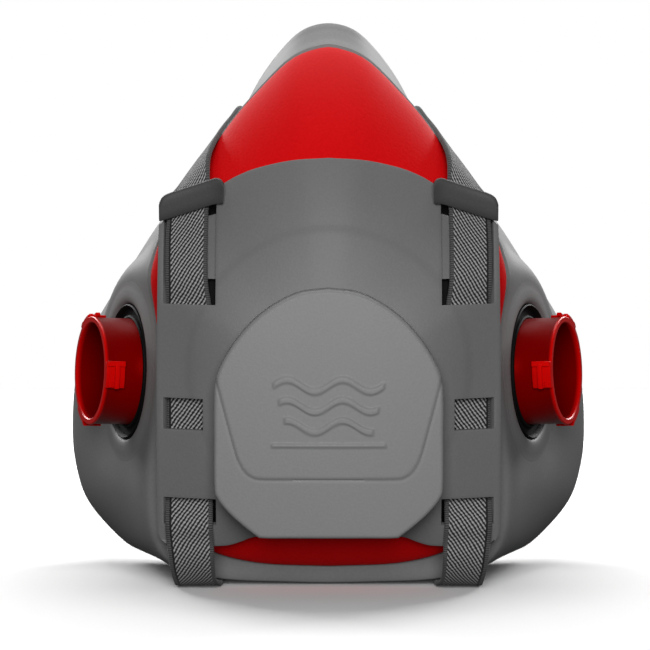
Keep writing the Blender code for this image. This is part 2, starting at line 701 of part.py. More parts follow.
def make_clip(side, name, material):
    """Half of the neck clip: a round bar between two arms, and a plate with a hook or an eye."""
    x = side * 33
    y, z = CLIP_PIN
    plate = finish_object(name, block((x - 9, 85, 2.2), (x + 9, 98, 4.6)), material)
    for edge, sign in (("inner", -1), ("outer", 1)):
        low, high = sorted((x + sign * 7.2, x + sign * 8.8))
        arm = block((low, y - 1.8, 2.0), (high, 86, 4.8))
        combine(plate, finish_object("%s_arm_%s" % (name, edge), arm, None), "UNION")
    bar = disc(1.4, -8.0, 8.0, 16)
    move(bar, Matrix.Translation((x, y, z)) @ Matrix.Rotation(math.pi / 2, 4, "Y"))
    combine(plate, finish_object(name + "_bar", bar, None), "UNION")
    if side > 0:
        hook = block((x - 5, 96.8, 3.6), (x + 5, 100.5, 7.0))
        combine(plate, finish_object(name + "_tip", hook, None), "UNION")
        throat = block((x - 6, 93.5, 3.4), (x + 6, 96.8, 8.0))
        combine(plate, finish_object(name + "_throat", throat, None), "DIFFERENCE")
    else:
        eye = block((x - 6.2, 88.5, 0), (x + 6.2, 94.5, 8))
        combine(plate, finish_object(name + "_eye", eye, None), "DIFFERENCE")
    return set_origin(plate, (x, y, z))


SOFT_GREY = ((0.17, 0.17, 0.175), 0.6)
RED = ((0.62, 0.012, 0.012), 0.35)
COVER_GREY = ((0.14, 0.145, 0.15), 0.5)
VALVE_GREY = ((0.2, 0.205, 0.21), 0.5)
WEBBING = ((0.08, 0.08, 0.085), 0.85)
BLACK = ((0.01, 0.01, 0.01), 0.6)
DARK = ((0.02, 0.02, 0.022), 0.4)
CLEAR = ((0.5, 0.5, 0.48), 0.4)


def main():
    clear_scene()
    soft = make_material("soft_grey_elastomer", *SOFT_GREY)
    red = make_material("red_moulded_plastic", *RED)
    grey = make_material("grey_moulded_plastic", *COVER_GREY)
    light = make_material("light_grey_moulded_plastic", *VALVE_GREY)
    web = make_material("woven_webbing", *WEBBING)
    black = make_material("black_rubber", *BLACK)
    dark = make_material("black_moulded_plastic", *DARK)
    clear = make_material("silicone_flap", *CLEAR)
    make_facepiece(soft)
    make_rigid_body(red)
    make_front_cover(grey)
    make_valve_cover(light)
    make_exhale_seat(dark)
    make_exhale_flap(clear)
    for side, label in ((1, "right"), (-1, "left")):
        make_port(side, label, red)
        make_port_ring(side, label, dark)
        make_gasket(side, label, black)
        make_inhale_flap(side, label, clear)
        make_strap(side, label, web)
        make_adjuster(side, label, dark)
    make_cradle(dark)
    make_clip(1, "neck_clip_hook", dark)
    make_clip(-1, "neck_clip_loop", dark)


main()
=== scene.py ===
import math

import bmesh
import bpy
import numpy as np
from mathutils import Matrix, Vector


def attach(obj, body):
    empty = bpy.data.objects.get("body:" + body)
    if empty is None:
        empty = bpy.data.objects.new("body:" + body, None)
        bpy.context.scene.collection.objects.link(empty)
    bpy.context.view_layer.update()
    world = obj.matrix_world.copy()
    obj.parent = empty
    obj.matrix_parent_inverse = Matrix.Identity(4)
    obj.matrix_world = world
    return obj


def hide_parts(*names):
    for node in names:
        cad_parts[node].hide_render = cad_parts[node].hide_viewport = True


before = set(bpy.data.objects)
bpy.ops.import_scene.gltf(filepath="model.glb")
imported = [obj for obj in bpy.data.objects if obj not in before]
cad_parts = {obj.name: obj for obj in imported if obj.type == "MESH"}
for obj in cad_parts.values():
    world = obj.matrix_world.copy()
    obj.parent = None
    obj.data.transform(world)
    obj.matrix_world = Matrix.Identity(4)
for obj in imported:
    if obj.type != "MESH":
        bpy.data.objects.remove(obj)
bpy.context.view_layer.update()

# Lengths are in millimetres until a mesh is finished, with y = 0 near the back of the ports.
MM = 0.001
SHIFT_Y = -48.5

# --- Measures of the mask ---------------------------------------------------------------------

FRONT_Y = -50.0  # foremost point of the rigid body
VALVE_Z = 56.0  # height of the exhalation valve, the centre of the front dome
VALVE_HOLE_R = 17.3  # hole in the rigid body for the valve seat
COVER_HOLE_R = 18.0  # hole in the front cover, under the valve hood
COVER_FRONT = 5.0  # the front cover's face, as an offset in front of the rigid body
STRAIGHT_FROM = 0.8  # share of the dome's radius where the cover stops following its rounding
SOFT_WALL = 2.2
RIGID_WALL = 2.0
COVER_WALL = 2.2
HOOD_WALL = 1.9

STRAP_X = 38.3
STRAP_WIDTH = 13.2
STRAP_THICK = 1.3

PORT_CENTRE = (58.6, -8.8, 58.0)  # middle of the recess mouth, right-hand side
PORT_FORWARD = math.radians(20.0)  # how far each port turns towards the front
PORT_RISE = math.radians(3.0)
PORT_OUT = 9.3  # tube length that stands out of the recess
TUBE_R = 15.0
BORE_R = 13.6
RECESS_R = 19.1  # recess round the tube, which holds the black seal
COLLAR_R = 25.4  # outer edge of the facepiece's lip round the recess
CHEEK_HOLE_R = 22.2  # hole in the cheek, which the collar closes
CHEEK_FLAT_R = 25.6  # the cheek is flat inside this radius of a port's axis
CHEEK_BLEND_R = 37.0  # where the cheek is back on its own curve
LIP_GAP = 0.35  # between the rim of the red body and the grey moulding behind it
CHEEK_AT_PORT = -1.5  # height of the flat of the cheek round the port, from the port's rim seat

# Half outlines seen from the front, top centre to bottom centre: x, z and depth y
RIGID_EDGE = [
    (0, 150, -2), (10, 146.5, -4), (20, 137, -8), (28.5, 127, -12), (38, 112, -19),
    (45.4, 99.5, -25.5), (48.6, 90, -29.5), (49.3, 84.5, -31), (47.6, 74, -33.5), (46, 60, -35),
    (45.5, 42, -36), (43, 24, -36), (35.5, 12, -35), (21, 6.6, -31), (0, 5.2, -29),
]
FLANGE_EDGE = [
    (0, 156.8, 10), (7.3, 154.8, 10), (13.6, 148.8, 12), (20, 140, 13), (27.4, 126.4, 18),
    (42, 108.3, 24), (50.9, 96, 27), (56.4, 87.5, 29), (66, 73, 33), (72, 61, 35), (74.6, 50, 35),
    (75.2, 36.7, 35), (74.4, 28, 34), (70.7, 16.5, 31), (60, 5.6, 25), (54, 3.4, 22),
    (38, 1.9, 17), (0, 0.5, 14),
]
# Walls of the facepiece: share of the way out and of the way back from the rigid edge
WALL_RINGS = [(0.03, 0.03), (0.15, 0.1), (0.36, 0.36), (0.68, 0.66), (1.0, 1.0)]
# The turned-in sealing lip: inset from the flange, step back from it
LIP_RINGS = [(2.6, 4.4), (9.0, 5.6), (18.0, 1.5), (24.0, -4.5)]
LIP_CENTRE_Z = 66.0  # the lip turns in towards this height
OUTLINE_BLUR = 4  # points over which an outline's small wobbles are smoothed


# --- Curves -----------------------------------------------------------------------------------

def curve(points, steps):
    """A smooth line through points of any dimension, with so many steps in each span."""
    p = np.asarray(points, float)
    p = np.vstack([2 * p[0] - p[1], p, 2 * p[-1] - p[-2]])
    t = (np.arange(steps) / steps)[:, None]
    spans = [0.5 * (2 * b + (c - a) * t + (2 * a - 5 * b + 4 * c - d) * t ** 2
                    + (3 * b - a - 3 * c + d) * t ** 3)
             for a, b, c, d in zip(p, p[1:], p[2:], p[3:])]
    return np.vstack(spans + [p[-2:-1]])


def evened(line, count, power=1.0):
    """count points along a line; a power over 1 sets the first ones closer."""
    run = np.concatenate([[0], np.cumsum(np.linalg.norm(np.diff(line, axis=0), axis=1))])
    goal = run[-1] * (np.arange(count) / (count - 1)) ** power
    return np.column_stack([np.interp(goal, run, line[:, i]) for i in range(line.shape[1])])


def softened(line, width):
    """A half outline with its small wobbles smoothed out, kept square to the middle plane."""
    flip = np.array([-1, 1, 1])
    whole = np.vstack([line[1:][::-1] * flip, line, line[:-1][::-1] * flip])
    reach = np.arange(-3 * width, 3 * width + 1)
    weight = np.exp(-0.5 * (reach / width) ** 2)
    weight /= weight.sum()
    smooth = np.column_stack([np.convolve(whole[:, i], weight, "same") for i in range(3)])
    return smooth[len(line) - 1:2 * len(line) - 1]


def half_outline(points):
    """A dense, smooth line in x, y, z from half-outline points that hold x, z, y."""
    return softened(evened(curve([(x, y, z) for x, z, y in points], 24), 400), OUTLINE_BLUR)


RIGID_LINE = half_outline(RIGID_EDGE)
FLANGE_LINE = half_outline(FLANGE_EDGE)
EDGE_ANGLE = np.abs(np.arctan2(RIGID_LINE[:, 0], RIGID_LINE[:, 2] - VALVE_Z))
EDGE_RADIUS = np.hypot(RIGID_LINE[:, 0], RIGID_LINE[:, 2] - VALVE_Z)


def step(low, high, value):
    """Smooth step from 0 at low to 1 at high."""
    t = np.clip((value - low) / (high - low), 0, 1)
    return t * t * (3 - 2 * t)


def rounding(share):
    """Depth of the front dome's profile, 0 at its middle and 1 at its edge."""
    return 0.6 * share ** 3 + 0.4 * (1 - np.sqrt(np.clip(1 - share ** 2, 0, 1)))


def towards_edge(x, z):
    """Share of the way from the valve's axis to the rigid body's edge, and that edge's depth."""
    angle = np.abs(np.arctan2(x, z - VALVE_Z))
    radius = np.interp(angle, EDGE_ANGLE, EDGE_RADIUS)
    return np.hypot(x, z - VALVE_Z) / radius, np.interp(angle, EDGE_ANGLE, RIGID_LINE[:, 1])


def dome_y(x, z, offset=0.0):
    """Depth of the rigid body's face."""
    share, depth = towards_edge(x, z)
    return FRONT_Y + (depth - FRONT_Y) * rounding(np.clip(share, 0, 1)) - offset


def cover_y(x, z, offset):
    """Depth of the front cover, which runs on straight where the body rounds away."""
    share, depth = towards_edge(x, z)
    slope = (rounding(STRAIGHT_FROM) - rounding(STRAIGHT_FROM - 0.01)) / 0.01
    inner = rounding(np.minimum(share, STRAIGHT_FROM))
    drop = inner + slope * np.maximum(share - STRAIGHT_FROM, 0)
    return FRONT_Y + (depth - FRONT_Y) * drop - offset


# --- Building meshes --------------------------------------------------------------------------

def warped_grid(columns, rows, place, thread=None):
    """A grid of columns by rows faces; place takes arrays of column and row numbers to x, y, z.

    thread takes them to the u, v of a map that follows the surface."""
    bm = bmesh.new()
    bmesh.ops.create_grid(bm, x_segments=columns, y_segments=rows, size=0.5)
    at = np.array([v.co for v in bm.verts])
    column = np.rint((at[:, 0] + 0.5) * columns).astype(int)
    row = np.rint((at[:, 1] + 0.5) * rows).astype(int)
    if thread:
        layer = bm.loops.layers.uv.new("thread")
        bm.verts.index_update()
        uv = np.column_stack(thread(column, row))
        for face in bm.faces:
            for loop in face.loops:
                loop[layer].uv = uv[loop.vert.index]
    for vert, co in zip(bm.verts, np.column_stack(place(column, row))):
        vert.co = co
    return bm


def merge(bm, distance=0.004):
    """Welds vertices that lie closer than distance."""
    bmesh.ops.remove_doubles(bm, verts=bm.verts, dist=distance)
    return bm


def move(bm, matrix):
    """Puts a whole bmesh through a matrix and gives it back."""
    bmesh.ops.transform(bm, matrix=matrix, verts=bm.verts)
    return bm


def join(bm, other):
    """Adds another bmesh to bm and frees it."""
    mesh = bpy.data.meshes.new("part")
    other.to_mesh(mesh)
    other.free()
    bm.from_mesh(mesh)
    bpy.data.meshes.remove(mesh)
    return bm


def turned(profile, segments):
    """A ring turned about Z from a closed profile of (radius, height) points."""
    bm = bmesh.new()
    verts = [bm.verts.new((r, 0, h)) for r, h in profile]
    edges = [bm.edges.new(pair) for pair in zip(verts, verts[1:] + verts[:1])]
    bmesh.ops.spin(bm, geom=verts + edges, cent=(0, 0, 0), axis=(0, 0, 1),
                   angle=2 * math.pi, steps=segments, use_merge=True)
    merge(bm)
    bmesh.ops.recalc_face_normals(bm, faces=bm.faces)
    return bm


def block(low, high):
    """A box between two corners."""
    bm = bmesh.new()
    low, high = Vector(low), Vector(high)
    place = Matrix.Translation((low + high) / 2) @ Matrix.Diagonal((*(high - low), 1))
    bmesh.ops.create_cube(bm, size=1.0, matrix=place)
    return bm


def face_front(bm):
    """Turns every face that looks backwards."""
    for face in bm.faces:
        if face.normal.y > 0:
            face.normal_flip()


def push_back(bm, depth_at):
    """Closes an open sheet to a solid; depth_at gives each vertex of its back a depth."""
    made = bmesh.ops.extrude_face_region(bm, geom=list(bm.faces))["geom"]
    for vert in made:
        if isinstance(vert, bmesh.types.BMVert):
            vert.co.y = depth_at(vert.co)
    bmesh.ops.recalc_face_normals(bm, faces=bm.faces)
    return bm


def cover_depth(x, z, offset):
    """cover_y at one point, as a plain number."""
    return float(cover_y(np.array(x), np.array(z), offset))


def round_edges(bm, width, segments, least=30.0):
    """Bevels every edge sharper than least degrees."""
    sharp = [e for e in bm.edges
             if e.is_manifold and e.calc_face_angle(0.0) > math.radians(least)]
    bmesh.ops.bevel(bm, geom=sharp, affect="EDGES", offset=width, segments=segments,
                    profile=0.5, material=-1, clamp_overlap=True)
    return bm


def finish(name, bm, material, node_names, body="mask", outward=False, crease=40.0):
    """A piece in metres that rides on a body and stands for CAD nodes."""
    if outward:
        bmesh.ops.recalc_face_normals(bm, faces=bm.faces)
    bmesh.ops.translate(bm, vec=(0, SHIFT_Y, 0), verts=bm.verts)
    bmesh.ops.scale(bm, vec=(MM, MM, MM), verts=bm.verts)
    mesh = bpy.data.meshes.new(name)
    bm.to_mesh(mesh)
    bm.free()
    mesh.shade_smooth()
    mesh.set_sharp_from_angle(angle=math.radians(crease))
    piece = bpy.data.objects.new(name, mesh)
    bpy.context.scene.collection.objects.link(piece)
    mesh.materials.append(material)
    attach(piece, body)
    if node_names:
        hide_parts(*node_names)
    return piece


def give_wall(piece, thickness):
    """Thickens a sheet on its inner side."""
    wall = piece.modifiers.new("wall", "SOLIDIFY")
    wall.thickness = thickness * MM
    wall.offset = -1.0
    wall.use_even_offset = True
    return piece


def soften_rim(piece, width, least=50.0):
    """Rounds the edges sharper than least degrees of a finished piece."""
    rim = piece.modifiers.new("rim", "BEVEL")
    rim.width = width * MM
    rim.segments = 2
    rim.limit_method = "ANGLE"
    rim.angle_limit = math.radians(least)
    return piece


# --- Materials --------------------------------------------------------------------------------

def linear(hex_colour):
    """Linear RGBA from an sRGB hex colour."""
    channels = [int(hex_colour[i:i + 2], 16) / 255 for i in (1, 3, 5)]
    return (*[c / 12.92 if c <= 0.04045 else ((c + 0.055) / 1.055) ** 2.4 for c in channels], 1.0)


def add_node(tree, kind, inputs=None, **settings):
    """Adds a node; inputs holds plain values, nodes or outputs by socket name or number."""
    node = tree.nodes.new(kind)
    for key, value in settings.items():
        setattr(node, key, value)
    for key, value in (inputs or {}).items():
        if isinstance(value, bpy.types.Node):
            value = next(output for output in value.outputs if output.enabled)
        if isinstance(value, bpy.types.NodeSocket):
            tree.links.new(value, node.inputs[key])
        else:
            node.inputs[key].default_value = value
    return node


def new_material(name):
    """An empty material with its node tree and its shader."""
    mat = bpy.data.materials.new(name)
    mat.use_nodes = True
    return mat, mat.node_tree, mat.node_tree.nodes["Principled BSDF"]


PATCH_MM = 28.0  # size of the slow colour drift across a moulding


def moulded(name, dark, light, roughness, grain_mm, grain_depth, gloss=0.5, tint="#ffffff"):
    """An injection-moulded surface: slow colour drift, satin roughness and a spark-eroded grain."""
    mat, tree, shader = new_material(name)
    place = add_node(tree, "ShaderNodeTexCoord").outputs["Object"]
    drift = add_node(tree, "ShaderNodeTexNoise",
                     {"Vector": place, "Scale": 1000.0 / PATCH_MM, "Detail": 3.0})
    grain = add_node(tree, "ShaderNodeTexNoise",
                     {"Vector": place, "Scale": 1000.0 / grain_mm, "Detail": 2.0})
    speck = add_node(tree, "ShaderNodeMath", {0: grain, 1: 1.6, 2: -0.3}, operation="MULTIPLY_ADD")
    half_drift = add_node(tree, "ShaderNodeMath", {0: drift, 1: 0.5}, operation="MULTIPLY")
    mottle = add_node(tree, "ShaderNodeMath", {0: speck, 1: 0.5, 2: half_drift},
                      operation="MULTIPLY_ADD")
    skin = add_node(tree, "ShaderNodeMix", {"Factor": mottle, "A": linear(dark), "B": linear(light)},
                    data_type="RGBA")
    rough = add_node(tree, "ShaderNodeMapRange",
                     {"Value": drift, "To Min": roughness - 0.06, "To Max": roughness + 0.06})
    bump = add_node(tree, "ShaderNodeBump",
                    {"Height": grain, "Strength": 0.5, "Distance": grain_depth * MM})
    shader.inputs["IOR"].default_value = 1.5
    shader.inputs["Specular IOR Level"].default_value = gloss
    shader.inputs["Specular Tint"].default_value = linear(tint)
    tree.links.new(skin.outputs["Result"], shader.inputs["Base Color"])
    tree.links.new(rough.outputs["Result"], shader.inputs["Roughness"])
    tree.links.new(bump.outputs["Normal"], shader.inputs["Normal"])
    return mat


def red_with_painted_glow(name):
    """Deep red over the tube, with brighter red painted on the rims and lugs: a painted glow of
    light catching them.
    """
    mat, tree, shader = new_material(name)
    place = add_node(tree, "ShaderNodeTexCoord").outputs["Object"]
    painted_glow = add_node(tree, "ShaderNodeAttribute", attribute_name="painted_glow").outputs["Fac"]
    drift = add_node(tree, "ShaderNodeTexNoise",
                     {"Vector": place, "Scale": 1000.0 / 9.0, "Detail": 3.0})
    uneven = add_node(tree, "ShaderNodeMapRange", {"Value": drift, "To Min": 0.7, "To Max": 1.15})
    share = add_node(tree, "ShaderNodeMath", {0: painted_glow, 1: uneven}, operation="MULTIPLY")
    # Painted glow: brighter red painted where the mesh marks the rims and lugs.
    skin = add_node(tree, "ShaderNodeMix",
                    {"Factor": share, "A": linear("#6c0000"), "B": linear("#d00806")},
                    data_type="RGBA")
    grain = add_node(tree, "ShaderNodeTexNoise",
                     {"Vector": place, "Scale": 1000.0 / 0.7, "Detail": 2.0})
    bump = add_node(tree, "ShaderNodeBump",
                    {"Height": grain, "Strength": 0.5, "Distance": 0.03 * MM})
    shader.inputs["IOR"].default_value = 1.49
    shader.inputs["Specular IOR Level"].default_value = 0.25
    shader.inputs["Specular Tint"].default_value = linear("#ff2018")
    shader.inputs["Roughness"].default_value = 0.33
    tree.links.new(skin.outputs["Result"], shader.inputs["Base Color"])
    tree.links.new(bump.outputs["Normal"], shader.inputs["Normal"])
    return mat


# Pitches of the webbing's ribs, stitch courses and selvedge stitches, in millimetres
RIB_PITCH, COURSE_PITCH, SELVEDGE_PITCH = 0.92, 1.05, 0.62
RIB_LEAN = math.radians(54)


def woven_elastic(name):
    """Knitted elastic: slanting ribs of pale yarn over black rubber, between plain selvedges.

    The piece's own UV map holds millimetres across and along the webbing."""
    mat, tree, shader = new_material(name)
    uv = add_node(tree, "ShaderNodeUVMap", uv_map="thread")
    split = add_node(tree, "ShaderNodeSeparateXYZ", {"Vector": uv})
    across = split.outputs["X"]
    values = {
        "across": across, "along": split.outputs["Y"],
        "wander": add_node(tree, "ShaderNodeTexNoise", {"Vector": uv, "Scale": 0.35, "Detail": 1.0}),
        "fluff": add_node(tree, "ShaderNodeTexNoise", {"Vector": uv, "Scale": 1.9, "Detail": 2.0}),
    }
    sums = (
        ("drift", "MULTIPLY", "wander", 0.5),
        # slanting ribs
        ("rib_across", "MULTIPLY", "across", math.sin(RIB_LEAN)),
        ("rib_along", "MULTIPLY", "along", math.cos(RIB_LEAN)),
        ("rib_run", "SUBTRACT", "rib_across", "rib_along"),
        ("rib_drifted", "ADD", "rib_run", "drift"),
        ("rib_turn", "MULTIPLY", "rib_drifted", 2 * math.pi / RIB_PITCH),
        ("ribs", "SINE", "rib_turn"),
        # the courses of stitches that break them
        ("course_run", "MULTIPLY_ADD", "across", 0.42, "along"),
        ("course_drifted", "ADD", "course_run", "drift"),
        ("course_turn", "MULTIPLY", "course_drifted", 2 * math.pi / COURSE_PITCH),
        ("courses", "SINE", "course_turn"),
        ("rib_height", "MULTIPLY", "ribs", 0.62),
        ("knit_plain", "MULTIPLY_ADD", "courses", 0.2, "rib_height"),
        ("knit", "MULTIPLY_ADD", "fluff", 0.7, "knit_plain"),
        # plain selvedges of fine cross stitches
        ("stitch_turn", "MULTIPLY", "along", 2 * math.pi / SELVEDGE_PITCH),
        ("stitch", "SINE", "stitch_turn"),
        ("stitches", "MULTIPLY_ADD", "stitch", 0.12, 0.16),
        # distance from the dark warp line inside the outer selvedge
        ("line_offset", "SUBTRACT", "across", 5.0),
        ("line_gap", "ABSOLUTE", "line_offset"),
    )
    for key, operation, *terms in sums:
        inputs = {i: values.get(term, term) for i, term in enumerate(terms)}
        values[key] = add_node(tree, "ShaderNodeMath", inputs, operation=operation)
    limits = {"outer": (across, 5.15, 5.35), "inner": (across, -5.45, -5.65),
              "line": (values["line_gap"], 0.1, 0.4)}
    for key, (value, low, high) in limits.items():
        values[key] = add_node(tree, "ShaderNodeMapRange",
                               {"Value": value, "From Min": low, "From Max": high},
                               interpolation_type="SMOOTHSTEP")
    edge = add_node(tree, "ShaderNodeMath", {0: values["outer"], 1: values["inner"]},
                    operation="MAXIMUM")
    raised = add_node(tree, "ShaderNodeMath", {0: values["knit"], 1: 0.5}, operation="ADD")
    lined = add_node(tree, "ShaderNodeMath", {0: raised, 1: values["line"], 2: -0.5},
                     operation="MULTIPLY_ADD")
    whole = add_node(tree, "ShaderNodeMix", {"Factor": edge, "A": lined, "B": values["stitches"]},
                     data_type="FLOAT")
    height = add_node(tree, "ShaderNodeMapRange",
                      {"Value": whole, "From Min": -0.1, "From Max": 1.1},
                      interpolation_type="SMOOTHSTEP")
    yarn = add_node(tree, "ShaderNodeMix",
                    {"Factor": height, "A": linear("#0b0b0c"), "B": linear("#a8a8a8")},
                    data_type="RGBA")
    bump = add_node(tree, "ShaderNodeBump",
                    {"Height": height, "Strength": 0.8, "Distance": 0.2 * MM})
    shader.inputs["Roughness"].default_value = 0.85
    shader.inputs["Sheen Weight"].default_value = 0.1
    shader.inputs["Sheen Roughness"].default_value = 0.5
    tree.links.new(yarn.outputs["Result"], shader.inputs["Base Color"])
    tree.links.new(bump.outputs["Normal"], shader.inputs["Normal"])
    return mat


# Soft TPE, injection moulded in a fine-etched tool: a dry, even grey with a broad dull highlight.
soft_elastomer = moulded("TPE moulded matt grey", "#6e6e6e", "#7e7e7e", 0.6, 0.7, 0.08)
# Polypropylene, injection moulded in an etched tool: strong red, nearly matt, with a fine grain.
red_plastic = moulded("Polypropylene moulded red", "#c6070b", "#dc1014", 0.65, 0.8, 0.12, gloss=0.1,
                      tint="#ff3030")
# Glass-filled nylon, spark-eroded tool: a hard grey skin, a little smoother than the soft parts.
cover_grey = moulded("Nylon moulded grey", "#646464", "#727272", 0.55, 0.6, 0.07)
# The same nylon, darker, for the bars that the straps run over.
bar_grey = moulded("Nylon moulded dark grey", "#3c3c3c", "#464646", 0.5, 0.6, 0.07, gloss=0.35)
# The same nylon in a paler grey for the valve hood.
hood_grey = moulded("Nylon moulded light grey", "#797979", "#858585", 0.58, 0.6, 0.07)
# Natural rubber gasket, moulded: near black with a faint bloom. Also the black of the painted-shade
# sheets in the strap slots.
black_rubber = moulded("Rubber moulded black", "#050505", "#0a0a0a", 0.65, 0.6, 0.05, gloss=0.15)
# Acetal clips and nuts, moulded: black with a low satin sheen.
black_plastic = moulded("Acetal moulded black", "#161617", "#222223", 0.42, 0.7, 0.06)
# Silicone rubber valve flap, pressed thin: milky and slightly see-through.
silicone = moulded("Silicone pressed milky", "#c5c2b9", "#d3d0c8", 0.4, 0.8, 0.02)
# Port red: deep red with a painted glow on the rims and lugs.
port_red = red_with_painted_glow("Polypropylene moulded deep red")
webbing = woven_elastic("Elastic webbing knitted grey")


# --- Soft facepiece ---------------------------------------------------------------------------

def port_frame(side):
    """Matrix whose +Z runs out of a port and whose +X points to the front."""
    out = Vector((side * math.cos(PORT_FORWARD) * math.cos(PORT_RISE),
                  -math.sin(PORT_FORWARD) * math.cos(PORT_RISE), math.sin(PORT_RISE)))
    up = (Vector((0, 0, 1)) - out * out.z).normalized()
    forward = out.cross(up)
    if forward.y > 0:
        forward = -forward
    turn = Matrix((forward, out.cross(forward), out)).transposed().to_4x4()
    return Matrix.Translation((side * PORT_CENTRE[0], PORT_CENTRE[1], PORT_CENTRE[2])) @ turn


ROUND = 288  # columns round the facepiece


def ring_at(index):
    """One guiding ring of the facepiece, all the way round, as an array of x, y, z."""
    half = ROUND // 2
    rigid = evened(RIGID_LINE, half + 1, 1.2)
    flange = evened(FLANGE_LINE, half + 1, 1.2)

    def inset(line, distance, back):
        inward = np.column_stack([-line[:, 0], np.zeros(half + 1), LIP_CENTRE_Z - line[:, 2]])
        inward /= np.linalg.norm(inward, axis=1)[:, None]
        return line + inward * distance + np.array([0, back, 0])

    if index == 0:
        line = inset(rigid, 5.5, LIP_GAP + 0.9)
    elif index <= len(WALL_RINGS):
        out, back = WALL_RINGS[index - 1]
        share = out ** np.clip((rigid[:, 2] - 5.0) / 45, 0.03, 1.0)
        line = rigid + (flange - rigid) * share[:, None]
        line[:, 1] = rigid[:, 1] + LIP_GAP + (flange[:, 1] - rigid[:, 1] - LIP_GAP) * back
    else:
        line = inset(flange, *LIP_RINGS[index - len(WALL_RINGS) - 1])
    return np.vstack([line, line[1:-1][::-1] * np.array([-1, 1, 1])])


def shape_cheek(points):
    """Draws the cheek flat against each port's mouth, fading into its own curve."""
    for side in (1, -1):
        place = np.array(port_frame(side))
        local = (points - place[:3, 3]) @ place[:3, :3]
        reach = np.hypot(local[:, 0], local[:, 1])
        weight = (1 - step(CHEEK_FLAT_R, CHEEK_BLEND_R, reach)) * step(-16, -11, local[:, 2])
        local[:, 2] += (CHEEK_AT_PORT - local[:, 2]) * weight
        points = local @ place[:3, :3].T + place[:3, 3]
    return points


def facepiece():
    """The grey moulding: cheeks, nose dome, chin strip, rolled flange and turned-in lip."""
    count = len(WALL_RINGS) + len(LIP_RINGS) + 1
    rings = np.array([ring_at(i) for i in range(count)])
    lines = curve(rings.reshape(count, -1), 9).reshape(-1, ROUND, 3)

    def place(column, row):
        return shape_cheek(lines[row, column % ROUND]).T

    bm = merge(warped_grid(ROUND, len(lines) - 1, place))
    for side in (1, -1):
        to_port = port_frame(side).inverted()
        inside = []
        for face in bm.faces:
            x, y, out = to_port @ face.calc_center_median()
            if math.hypot(x, y) < CHEEK_HOLE_R and out > -12:
                inside.append(face)
        bmesh.ops.delete(bm, geom=inside, context="FACES")
    bmesh.ops.recalc_face_normals(bm, faces=bm.faces)
    bmesh.ops.smooth_vert(bm, verts=bm.verts, factor=0.5, use_axis_x=True, use_axis_y=True,
                          use_axis_z=True)
    face = finish("facepiece", bm, soft_elastomer, ["face_piece"])
    give_wall(face, SOFT_WALL)


def collars():
    """The lips of the same moulding that dip into the recess round each port."""
    lip = curve([(RECESS_R, -4.0), (RECESS_R, -2.6), (19.3, -1.75), (19.9, -1.2), (21.0, -1.0),
                 (22.6, -1.12), (24.2, CHEEK_AT_PORT + 0.14), (COLLAR_R, CHEEK_AT_PORT + 0.03)], 4)
    profile = [(15.4, -7.0), (15.4, -5.0), (RECESS_R, -5.0)] + [tuple(p) for p in lip]
    profile += [(COLLAR_R + 0.1, CHEEK_AT_PORT - 1.0), (24.6, -7.0)]
    bm = move(turned(profile, 128), port_frame(1))
    join(bm, move(turned(profile, 128), port_frame(-1)))
    finish("port_collars", bm, soft_elastomer, [], outward=True)


# --- Rigid body -------------------------------------------------------------------------------

def rigid_body():
    """The red shell, with its rim rolled back and a hole for the exhalation valve."""
    columns, rows = 240, 60
    angles = np.linspace(-math.pi, math.pi, columns + 1)
    radius = np.interp(np.abs(angles), EDGE_ANGLE, EDGE_RADIUS)
    shares = np.sin(np.linspace(0.0, math.pi / 2, rows + 1))

    def place(column, row):
        edge = radius[column]
        share = VALVE_HOLE_R / edge + (1 - VALVE_HOLE_R / edge) * shares[row]
        x = edge * share * np.sin(angles[column])
        z = VALVE_Z + edge * share * np.cos(angles[column])
        return x, dome_y(x, z), z

    bm = merge(warped_grid(columns, rows, place))
    face_front(bm)
    body = finish("rigid_body_shell", bm, red_plastic, ["rigid_body"])
    soften_rim(give_wall(body, RIGID_WALL), 0.5)


# --- Front cover ------------------------------------------------------------------------------

COVER_TOP = curve([(0, 119.2), (10, 118.5), (19.4, 116.4), (25, 114.2), (28.9, 112.0),
                   (38, 106.6), (47.2, 100.5)], 8)
COVER_SIDE = curve([(12.4, 46.6), (16.5, 47.0), (30, 47.2), (60, 47.2), (80, 47.0), (99, 46.8),
                    (120, 46.6)], 6)
COVER_FOOT = curve([(0, 16), (10, 16), (19.9, 15.5), (23.9, 14.1), (27.3, 13.0), (30.9, 12.7),
                    (38, 12.4), (47.2, 12.4)], 4)
COVER_LOW, COVER_HIGH, COVER_HALF = 12.4, 119.2, 47.2  # lowest, highest and widest of the cover
WINDOW_OUT = 45.4  # outer edge of every window
WINDOW_LOW, WINDOW_HIGH = 18.6, 79.4  # foot of the lowest window and of the highest
# Windows on the right-hand side: x from and to, z from and to; the upper one is open at its top
WINDOWS = [(30.8, WINDOW_OUT, WINDOW_HIGH, 140.0), (34.3, WINDOW_OUT, 45.1, 53.7),
           (30.8, WINDOW_OUT, WINDOW_LOW, 26.2)]
CORNER_R, CORNER_X, CORNER_Z = 4.4, 42.7, 16.9  # the round of the cover's lower outer corners
SWELL_R, SWELL_Z = 38.3, 62.0  # edge and centre of the low swelling round the hood


def spans(stops, step_mm):
    """Grid lines through stops, about step_mm apart."""
    lines = [stops[0]]
    for a, b in zip(stops, stops[1:]):
        n = max(1, round((b - a) / step_mm))
        lines += [a + (b - a) * (i + 1) / n for i in range(n)]
    return np.array(lines)


